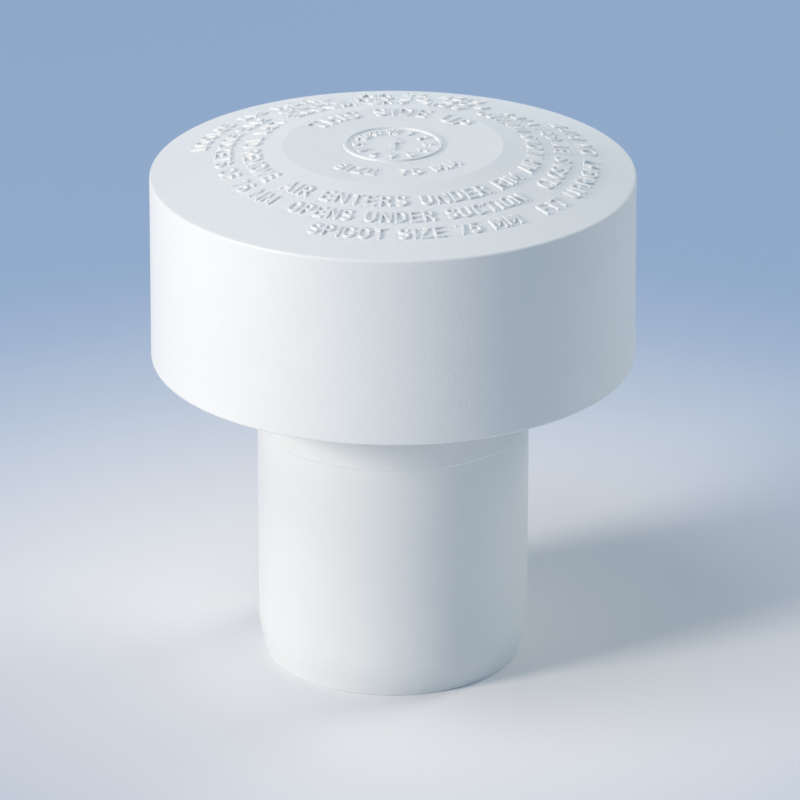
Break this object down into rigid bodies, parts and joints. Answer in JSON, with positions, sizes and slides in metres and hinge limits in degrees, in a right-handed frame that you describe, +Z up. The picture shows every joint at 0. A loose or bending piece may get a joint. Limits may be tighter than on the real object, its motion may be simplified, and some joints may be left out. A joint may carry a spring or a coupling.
{
  "type": "air admittance valve",
  "caption": "Round white drain vent valve with a skirted cap over a pipe spigot; a guided disc and membrane lift off two ring seats to let air in.",
  "frame": {"origin": "centre of the spigot's end, on the plane that the valve stands on", "axes": "+Z up along the pipe's axis towards the crown of the cap; X and Y lie across it"},
  "size_m": [0.1328, 0.1328, 0.1488],
  "materials": {
    "moulding": "satin moulded white plastic",
    "inner_moulding": "plain moulded off-white plastic",
    "seal": "matt black rubber",
    "pin": "drawn stainless steel"
  },
  "bodies": {
    "housing": {"cap": "moulding", "guide_pin": "pin", "cap_seal_ring": "seal", "valve_body": "moulding", "insect_screen": "inner_moulding"},
    "valve": {"valve_disc": "inner_moulding", "seal_membrane": "seal", "clamp_ring": "inner_moulding"}
  },
  "joints": [
    {"name": "valve_lift", "type": "slide", "parent": "housing", "child": "valve", "axis": [0, 0, 1], "range_m": [0, 0.01]}
  ]
}
